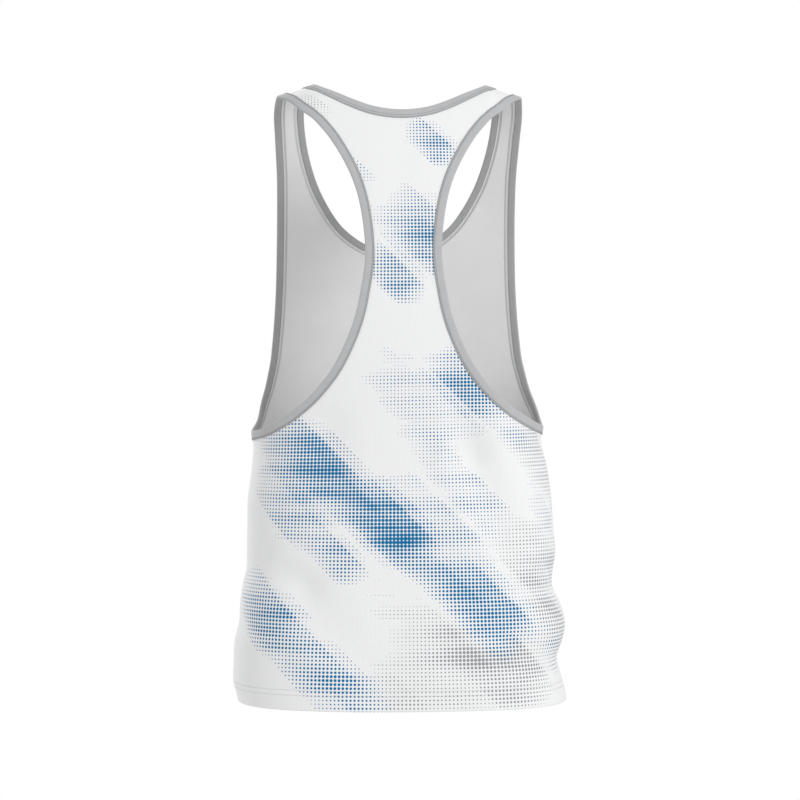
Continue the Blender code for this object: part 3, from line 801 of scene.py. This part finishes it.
# %% [markdown]
# ## A panel as one sheet
#
# The sheet starts as plain grids, one for each half panel and one for each bound edge. Every vertex
# of a grid is moved to its place on the cloth and the grids are merged where they meet. The UV of
# each vertex is written at the same time, in dots. A Solidify modifier then gives the wall, and its
# material offset makes the inside plain, since only the outer face of this cloth is printed.

# %% Laying a grid on the cloth
MERGE = 0.00002        # in metres


def lay_grid(bm, uv_layer, rows, columns, spot):
    """Adds a grid with so many rows and columns of vertices, and moves each to its spot, which
    gives its point and its UV."""
    made = bmesh.ops.create_grid(bm, x_segments=columns - 1, y_segments=rows - 1, size=1.0)
    for vert in made["verts"]:
        point, uv = spot(round((vert.co.y + 1) / 2 * (rows - 1)),
                         round((vert.co.x + 1) / 2 * (columns - 1)))
        for loop in vert.link_loops:
            loop[uv_layer].uv = uv
        vert.co = point * MM


def join_grids(bm):
    """Merges the grids where they meet and turns their faces the same way."""
    bmesh.ops.remove_doubles(bm, verts=bm.verts[:], dist=MERGE)
    bmesh.ops.recalc_face_normals(bm, faces=bm.faces[:])


def finish_mesh(bm, name, materials):
    """Makes the object, with smooth faces."""
    for face in bm.faces:
        face.smooth = True
    mesh = bpy.data.meshes.new(name)
    bm.to_mesh(mesh)
    bm.free()
    piece = bpy.data.objects.new(name, mesh)
    bpy.context.scene.collection.objects.link(piece)
    for material in materials:
        mesh.materials.append(material)
    return piece


def panel_sheet(name, halves, print_map, materials):
    """One panel of cloth: both halves with their strips under the bindings, and its wall."""
    bm = bmesh.new()
    uv_layer = bm.loops.layers.uv.new("dots")
    for hand, half in halves.items():
        arm_strip = [[row[-1], edge] for row, edge in zip(half.rows[half.underarm_row:],
                                                          half.arm_edge)]
        neck_strip = [[edge, row[0]] for row, edge in zip(half.rows[half.neck_row:],
                                                          half.neck_edge)]
        for places in (half.rows, arm_strip, neck_strip):
            def spot(row, column):
                place = places[row][column]
                return half.place(place, SEAM_DIP)[0], print_map.dots(hand, *place)

            lay_grid(bm, uv_layer, len(places), len(places[0]), spot)
    join_grids(bm)
    outwards = halves[1].line.towards
    chest = Vector((0.0, outwards * 0.1, -0.45))
    middle = min(bm.faces, key=lambda f: (f.calc_center_median() - chest).length)
    if middle.normal.y * outwards < 0:
        bmesh.ops.reverse_faces(bm, faces=bm.faces[:])
    piece = finish_mesh(bm, name, materials)
    wall = piece.modifiers.new("wall", "SOLIDIFY")
    wall.thickness, wall.offset = CLOTH * MM, -1.0
    # The inner face and the rim take the inside finish, whose darker colour is painted shade.
    wall.material_offset, wall.material_offset_rim = 1, 1
    return piece


back_cloth = panel_sheet("back_panel_cloth", backs, back_print,
                         (back_print_cloth, painted_shade_inside_cloth))
front_cloth = panel_sheet("front_panel_cloth", fronts, front_print,
                          (front_print_cloth, painted_shade_inside_cloth))
for cloth in (back_cloth, front_cloth):
    print(cloth.name, len(cloth.data.polygons), "faces")

# %% [markdown]
# ## Bindings
#
# A binding is a band of rib knit folded over the cut edge. Its section is a rounded U with a narrow
# leg on the inside and a wider one on the outside. One grid is laid round that section and along
# the edge, with its last row on its first, so that merging closes it into a ring.

# %% The folded band
BINDING_CLOTH = 0.85
BAND_GAP = 0.25        # between the band and the cloth in its fold


def band_section(face):
    """Places round the band's section: how far past the cut edge, and how high over the cloth."""
    top, bottom = BAND_GAP, -CLOTH - BAND_GAP
    middle, depth = (top + bottom) / 2, (top - bottom) / 2
    places = [(-face, top), (-face * 0.5, top), (0.0, top)]
    places += [(BAND_GAP + 0.35 * math.cos(a), middle + depth * math.sin(a))
               for a in (0.9, 0.0, -0.9)]
    places += [(0.0, bottom), (-INSIDE_FACE * 0.5, bottom), (-INSIDE_FACE, bottom)]
    full = depth + BINDING_CLOTH
    inner_leg = [(-INSIDE_FACE - 0.15, -0.25), (-INSIDE_FACE - 0.05, -0.75),
                 (-INSIDE_FACE + 0.3, -1.0), (-INSIDE_FACE * 0.78, -1.12),
                 (-INSIDE_FACE * 0.5, -1.18), (-INSIDE_FACE * 0.22, -1.12)]
    outer_leg = [(-face * 0.18, 1.1), (-face * 0.36, 1.17), (-face * 0.55, 1.16),
                 (-face * 0.72, 1.08), (-face * 0.85, 0.94), (-face + 0.35, 0.86),
                 (-face - 0.02, 0.62), (-face - 0.1, 0.2)]
    places += [(past, bottom + share * BINDING_CLOTH) for past, share in inner_leg]
    places += [(0.25 + 1.0 * math.cos(a), middle + full * 1.04 * math.sin(a))
               for a in (-1.45, -1.0, -0.5, 0.0, 0.5, 1.0, 1.45)]
    places += [(past, top + share * BINDING_CLOTH) for past, share in outer_leg]
    return places


def band_rings(pairs, section):
    """The section's places at each pair of an inside line's place and a cut edge's place."""
    rings = []
    for (inside, inside_normal), (cut, cut_normal) in pairs:
        outwards = (cut - inside).normalized()
        ring = []
        for past, height in section:
            share = max(0.0, -past) / BINDING_WIDTH
            foot = cut.lerp(inside, share) + outwards * max(0.0, past)
            ring.append(foot + cut_normal.lerp(inside_normal, min(1.0, share)) * height)
        rings.append(ring)
    return rings


def distances(places):
    """How far along a run of places each one lies."""
    passed = [0.0]
    for first, second in zip(places, places[1:]):
        passed.append(passed[-1] + math.dist(first, second))
    return passed


INSIDE_FROM, INSIDE_TO = 8, 18     # the section's places on the inner leg and its half of the fold


def band(name, pairs, face, materials):
    """One grid round the section and along the edge; its UV counts millimetres both ways."""
    bm = bmesh.new()
    uv_layer = bm.loops.layers.uv.new("band")
    section = band_section(face)
    rings = band_rings(pairs, section)
    along = distances([ring[0] for ring in rings + rings[:1]])
    across = distances(rings[0] + rings[0][:1])

    def spot(row, column):
        return rings[row % len(rings)][column % len(section)], (along[row], across[column])

    lay_grid(bm, uv_layer, len(rings) + 1, len(section) + 1, spot)
    flat = distances(section)
    # Faces on the inner leg and its half of the fold get the second finish, the rib knit painted
    # darker as painted shade.
    for bm_face in bm.faces:
        middle = sum(loop[uv_layer].uv.y for loop in bm_face.loops) / 4
        bm_face.material_index = int(flat[INSIDE_FROM] < middle < flat[INSIDE_TO])
    join_grids(bm)
    return finish_mesh(bm, name, materials)


def edge_run(node, distance, height=0.0):
    """Places all round a bound edge, so far in from it and so high over the cloth's outer face,
    each with its normal."""
    def laid(half, edge, inward):
        inside = edge if distance == 0 else inside_line(half.line, edge, inward, distance)
        placed = [half.place(place) for place in inside]
        return [(point + normal * height, normal) for point, normal in placed]

    if node == "neck_binding":
        sides = {hand: laid(backs[hand], backs[hand].neck_edge, 1)
                 + laid(fronts[hand], fronts[hand].neck_edge, 1)[::-1][1:] for hand in (1, -1)}
        return sides[1] + sides[-1][::-1][1:-1]
    hand = 1 if node.endswith("left") else -1
    up = laid(backs[hand], backs[hand].arm_edge, -1)
    return up + laid(fronts[hand], fronts[hand].arm_edge, -1)[::-1][1:-1]


edge_pairs = {node: list(zip(edge_run(node, BINDING_WIDTH), edge_run(node, 0)))
              for node in ("armhole_binding_left", "armhole_binding_right", "neck_binding")}
bands = {}
for node, pairs in edge_pairs.items():
    face = NECK_FACE if node == "neck_binding" else ARMHOLE_FACE
    bands[node] = band(node + "_rib", pairs, face, (rib_cloth, rib_inside_painted_shade))
    print(node, len(pairs), "stations,", len(bands[node].data.polygons), "faces")

# %% [markdown]
# ## Stitches
#
# A flat-lock machine sews the bindings and the hem with rows of short stitches, and covers the
# inside with a zigzag. A stitch could be painted in a texture, but modelled thread catches the
# light from every side. One stitch is a stretched ball with few faces, because there are thousands
# of them. They are made in small batches, since an operator slows down as its mesh grows.

# %% Laying stitches
def walked(run, pitch, closed):
    """Places at an even distance along a run of places, each with its normal."""
    stops = run + run[:1] if closed else run
    lengths = [(b[0] - a[0]).length for a, b in zip(stops, stops[1:])]
    count = round(sum(lengths) / pitch)
    step, at, passed, n = sum(lengths) / count, 0.0, 0.0, 0
    places = []
    for _ in range(count + (0 if closed else 1)):
        while n < len(lengths) - 1 and at > passed + lengths[n]:
            passed += lengths[n]
            n += 1
        share = min(1.0, (at - passed) / lengths[n])
        places.append((stops[n][0].lerp(stops[n + 1][0], share),
                       stops[n][1].lerp(stops[n + 1][1], share).normalized()))
        at += step
    return places


class Sewing:
    """Collects stitches in small batches and turns them into one piece."""

    BATCH = 40

    def __init__(self):
        self.batch, self.whole, self.count = bmesh.new(), bmesh.new(), 0
        self.batch.loops.layers.uv.new("UVMap")

    def stitch(self, start, end, normal, width, thick):
        """One stitch from start to end, as a stretched ball lying on the cloth."""
        along = end - start
        side = normal.cross(along).normalized()
        up = along.cross(side).normalized()
        columns = (along * 0.56, side * width / 2, up * thick / 2, (start + end) / 2)
        matrix = Matrix([[column[k] * MM for column in columns] for k in range(3)] + [[0, 0, 0, 1]])
        bmesh.ops.create_icosphere(self.batch, subdivisions=1, radius=1.0, matrix=matrix)
        self.count += 1
        if self.count % self.BATCH == 0:
            self.gather()

    def gather(self):
        mesh = bpy.data.meshes.new("batch")
        self.batch.to_mesh(mesh)
        self.whole.from_mesh(mesh)
        bpy.data.meshes.remove(mesh)
        self.batch.clear()

    def piece(self, name, material):
        self.gather()
        self.batch.free()
        made = finish_mesh(self.whole, name, (material,))
        print(name, self.count, "stitches,", len(made.data.polygons), "faces")
        return made


def dashes(sewing, run, row, closed=True):
    """A row of stitches, each covering its share of the pitch."""
    places = walked(run, row.pitch, closed)
    following = places[1:] + places[:1] if closed else places[1:]
    for (a, normal), (b, _) in zip(places, following):
        sewing.stitch(a, a.lerp(b, row.share), normal, row.width, row.thick)


def zigzag(sewing, near, far, row, closed=True):
    """Stitches from one run of places to another beside it and back."""
    sides = walked(near, row.pitch, closed), walked(far, row.pitch, closed)
    count = min(len(side) for side in sides)
    turning = [sides[n % 2][n] for n in range(count)]
    for (a, normal), (b, _) in zip(turning, turning[1:]):
        sewing.stitch(a, b, normal, row.width, row.thick)


# %% Threads and rows
# The light thread is brighter than the white jersey: a painted highlight for the folded edge's
# light line.
THREADS = {"edge": (0.16, 0.165, 0.17), "band": (0.30, 0.305, 0.31), "cover": (0.52, 0.525, 0.53),
           "hem": (0.56, 0.57, 0.58), "painted_highlight": (0.93, 0.93, 0.93)}
threads = {use: plain_knit(use + "_thread", colour, "UVMap", 8, 8, 0.6)
           for use, colour in THREADS.items()}
Row = namedtuple("Row", "pitch share width thick")
NECK_ROW, ARMHOLE_ROW = Row(2.7, 0.72, 0.5, 0.34), Row(2.1, 0.75, 0.6, 0.4)
NEEDLE_ROW, PAINTED_HIGHLIGHT_LINE = Row(2.1, 0.8, 0.55, 0.34), Row(3.0, 1.0, 1.0, 0.7)
COVER_ROW, HEM_COVER_ROW = Row(1.5, 1.0, 0.5, 0.3), Row(1.7, 1.0, 0.5, 0.3)
HEM_ROW = Row(3.1, 0.8, 0.55, 0.3)
ON_BAND = BAND_GAP + BINDING_CLOTH * 1.12               # the outer face of the band
IN_BAND = -CLOTH - BAND_GAP - BINDING_CLOTH * 0.95      # its face on the inside
INSIDE = -CLOTH - 0.12                                  # the inner face of the cloth

# %% The rows on the bindings' outsides, so far in from the bands' edges
sewn = {}
for node in bands:
    sewing = Sewing()
    at_neck = node == "neck_binding"
    for inwards in (0.55, 3.3) if at_neck else (0.5, 1.9):
        face = NECK_FACE if at_neck else ARMHOLE_FACE
        run = edge_run(node, face - inwards, ON_BAND)
        dashes(sewing, run, NECK_ROW if at_neck else ARMHOLE_ROW)
    name = node.replace("binding", "stitches")
    sewn[name] = sewing.piece(name, threads["edge"])

# %% [markdown]
# ## The seams' inner side
#
# Beside each binding, the inside shows the needles' own dark row, the folded edge as one light line
# and the covering zigzag. They are seen through the armholes, on the inner face of the front. The
# light line is raised thread painted brighter than the white jersey: a painted highlight along the
# folded edge.

# %% The cover stitch and the light line, a painted highlight
PAINTED_HIGHLIGHT_AT, COVER_FROM, COVER_TO = 7.3, 8.5, 11.0    # in from the cut edge
sewing, painted_highlight_line, needle_row = Sewing(), Sewing(), Sewing()
for node in bands:
    dashes(needle_row, edge_run(node, INSIDE_FACE - 0.5, IN_BAND), NEEDLE_ROW)
    zigzag(sewing, edge_run(node, COVER_FROM, INSIDE), edge_run(node, COVER_TO, INSIDE), COVER_ROW)
    # A painted highlight: a row of raised thread brighter than the cloth, along the folded edge.
    dashes(painted_highlight_line, edge_run(node, PAINTED_HIGHLIGHT_AT, INSIDE - 0.15), PAINTED_HIGHLIGHT_LINE)
sewn["cover_stitches"] = sewing.piece("cover_stitches", threads["cover"])
sewn["painted_highlight_edge_line"] = painted_highlight_line.piece("painted_highlight_edge_line", threads["painted_highlight"])
sewn["inner_needle_row"] = needle_row.piece("inner_needle_row", threads["band"])

# %% The hem's two rows outside and the cover stitch inside
HEM_STEPS, LAST_TURN = 40, math.pi / 2 * 0.996      # its rows end just before the side seam


def hem_run(halves, up, height):
    """Places along the hem, so far above the lower edge, from one side seam to the other."""
    run = []
    for hand, steps in ((-1, range(HEM_STEPS, 0, -1)), (1, range(HEM_STEPS + 1))):
        for n in steps:
            place = (n / HEM_STEPS * LAST_TURN, halves[hand].hem - up)
            point, normal = halves[hand].place(place, SEAM_DIP)
            run.append((point + normal * height, normal))
    return run


sewing = Sewing()
for halves in (backs, fronts):
    for up in HEM_STITCH_ROWS:
        dashes(sewing, hem_run(halves, up, 0.1), HEM_ROW, closed=False)
    inside = -2 * HEM_FOLD - 0.1
    zigzag(sewing, hem_run(halves, HEM_STITCH_ROWS[0] + 0.6, inside),
           hem_run(halves, HEM_DEPTH + 0.6, inside), HEM_COVER_ROW, closed=False)
sewn["hem_stitches"] = sewing.piece("hem_stitches", threads["hem"])

# %% [markdown]
# ## Into the frame
#
# Every piece rides on the vest's one body. The cloth pieces stand for their solids.

# %% Ride and replace
replaced = {"back_panel": back_cloth, "front_panel": front_cloth, **bands}
for node, piece in replaced.items():
    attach(piece, "root")
    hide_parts(node)
for name, piece in sewn.items():
    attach(piece, "root")

# %% [markdown]
# ## The cut
#
# The flat size of each sheet of cloth is printed. The panels' widths and lengths are measured along
# their cloth, from the shoulder to the raw edge of the turned hem, and their areas are those of the
# shapes that are cut out. A binding is a straight tape, as long as the edge that it covers.

FIRST_FLAT_ROW = 10      # the rows before it turn up at the hem


def cloth_area(piece):
    return sum(face.area for face in piece.data.polygons)


def row_length(half, n):
    return distances([half.place(place)[0] for place in half.rows[n]])[-1]


for halves, piece in ((backs, back_cloth), (fronts, front_cloth)):
    width = MM * max(sum(row_length(half, n) for half in halves.values())
                     for n in range(FIRST_FLAT_ROW, halves[1].underarm_row))
    length, area = MM * halves[1].rows[0][0][1], cloth_area(piece)
    print("%s: %.3f x %.3f m, %.4f m2" % (piece.name, width, length, area))
for node, piece in bands.items():
    edge = [cut for inside, (cut, normal) in edge_pairs[node]]
    length = MM * distances(edge + edge[:1])[-1]
    width = cloth_area(piece) / 2 / length
    print("%s: %.4f x %.3f m" % (piece.name, width, length))

# %% [markdown]
# ## Studio
#
# A pale floor far below, where a wearer's feet would be, white surroundings and two soft lamps.
# Standard colour keeps the surroundings pure white where the camera sees them. They light the cloth
# a little less than that, so that the lamps can bring out its folds.

# %% Floor and surroundings
FLOOR_LEVEL, FLOOR_RADIUS, SURROUND_LIGHT = -1.45, 3.2, 0.82
floor_bm = bmesh.new()
bmesh.ops.create_circle(floor_bm, cap_ends=True, segments=96, radius=FLOOR_RADIUS,
                        matrix=Matrix.Translation((0, 0, FLOOR_LEVEL)))
floor_finish, tree, shader = new_finish("pale_floor", 0.9)
grain = noise_node(tree, tree.nodes.new("ShaderNodeTexCoord").outputs["Object"], 6.0)
shaded(tree, shader, (0.93, 0.93, 0.93), ramp_between(tree, grain, 0.2, 0.8, 0.985, 1.0))
floor = finish_mesh(floor_bm, "floor", (floor_finish,))

world = bpy.data.worlds.new("studio")
world.use_nodes = True
surround = world.node_tree.nodes["Background"]
surround.inputs["Color"].default_value = (1, 1, 1, 1)
seen = world.node_tree.nodes.new("ShaderNodeLightPath").outputs["Is Camera Ray"]
brightness = math_node(world.node_tree, "MULTIPLY_ADD", seen, 1 - SURROUND_LIGHT, SURROUND_LIGHT)
world.node_tree.links.new(brightness, surround.inputs["Strength"])
bpy.context.scene.world = world
bpy.context.scene.view_settings.view_transform = "Standard"
print("floor at %.2f m" % FLOOR_LEVEL)

# %% Lamps
LAMP_AIM, LAMP_SIZE, LAMP_POWER = (0, 0, -0.3), 1.0, 40     # in metres and watts

for name, place in (("key", (-1.7, 2.2, 1.2)), ("front_side", (1.7, -2.2, 1.2))):
    data = bpy.data.lights.new(name, "AREA")
    data.shape, data.size, data.energy = "DISK", LAMP_SIZE, LAMP_POWER
    lamp = bpy.data.objects.new(name, data)
    lamp.location = place
    lamp.rotation_euler = (Vector(LAMP_AIM) - Vector(place)).to_track_quat("-Z", "Y").to_euler()
    bpy.context.scene.collection.objects.link(lamp)

# %% [markdown]
# ## Camera
#
# The photograph looks level at the back, turned only a little, from so far away that the lens is a
# long one. The camera aims at the vest's own axis.

# %% Camera
CAMERA_TURN = math.radians(2.5)
DISTANCE, AIM_LEVEL = 2.5, -0.3413
PICTURE, FOCAL_PIXELS, AXIS_PIXEL = 800, 2238, 399.5
camera_data = bpy.data.cameras.new("camera")
camera_data.sensor_width = 36.0
camera_data.lens = camera_data.sensor_width * FOCAL_PIXELS / PICTURE
camera_data.shift_x = (PICTURE / 2 - AXIS_PIXEL) / PICTURE
camera = bpy.data.objects.new("camera", camera_data)
camera.location = (DISTANCE * math.sin(CAMERA_TURN), DISTANCE * math.cos(CAMERA_TURN), AIM_LEVEL)
camera.rotation_euler = (math.pi / 2, 0, math.pi - CAMERA_TURN)
bpy.context.scene.collection.objects.link(camera)
bpy.context.scene.camera = camera
print("lens %.1f mm" % camera_data.lens)
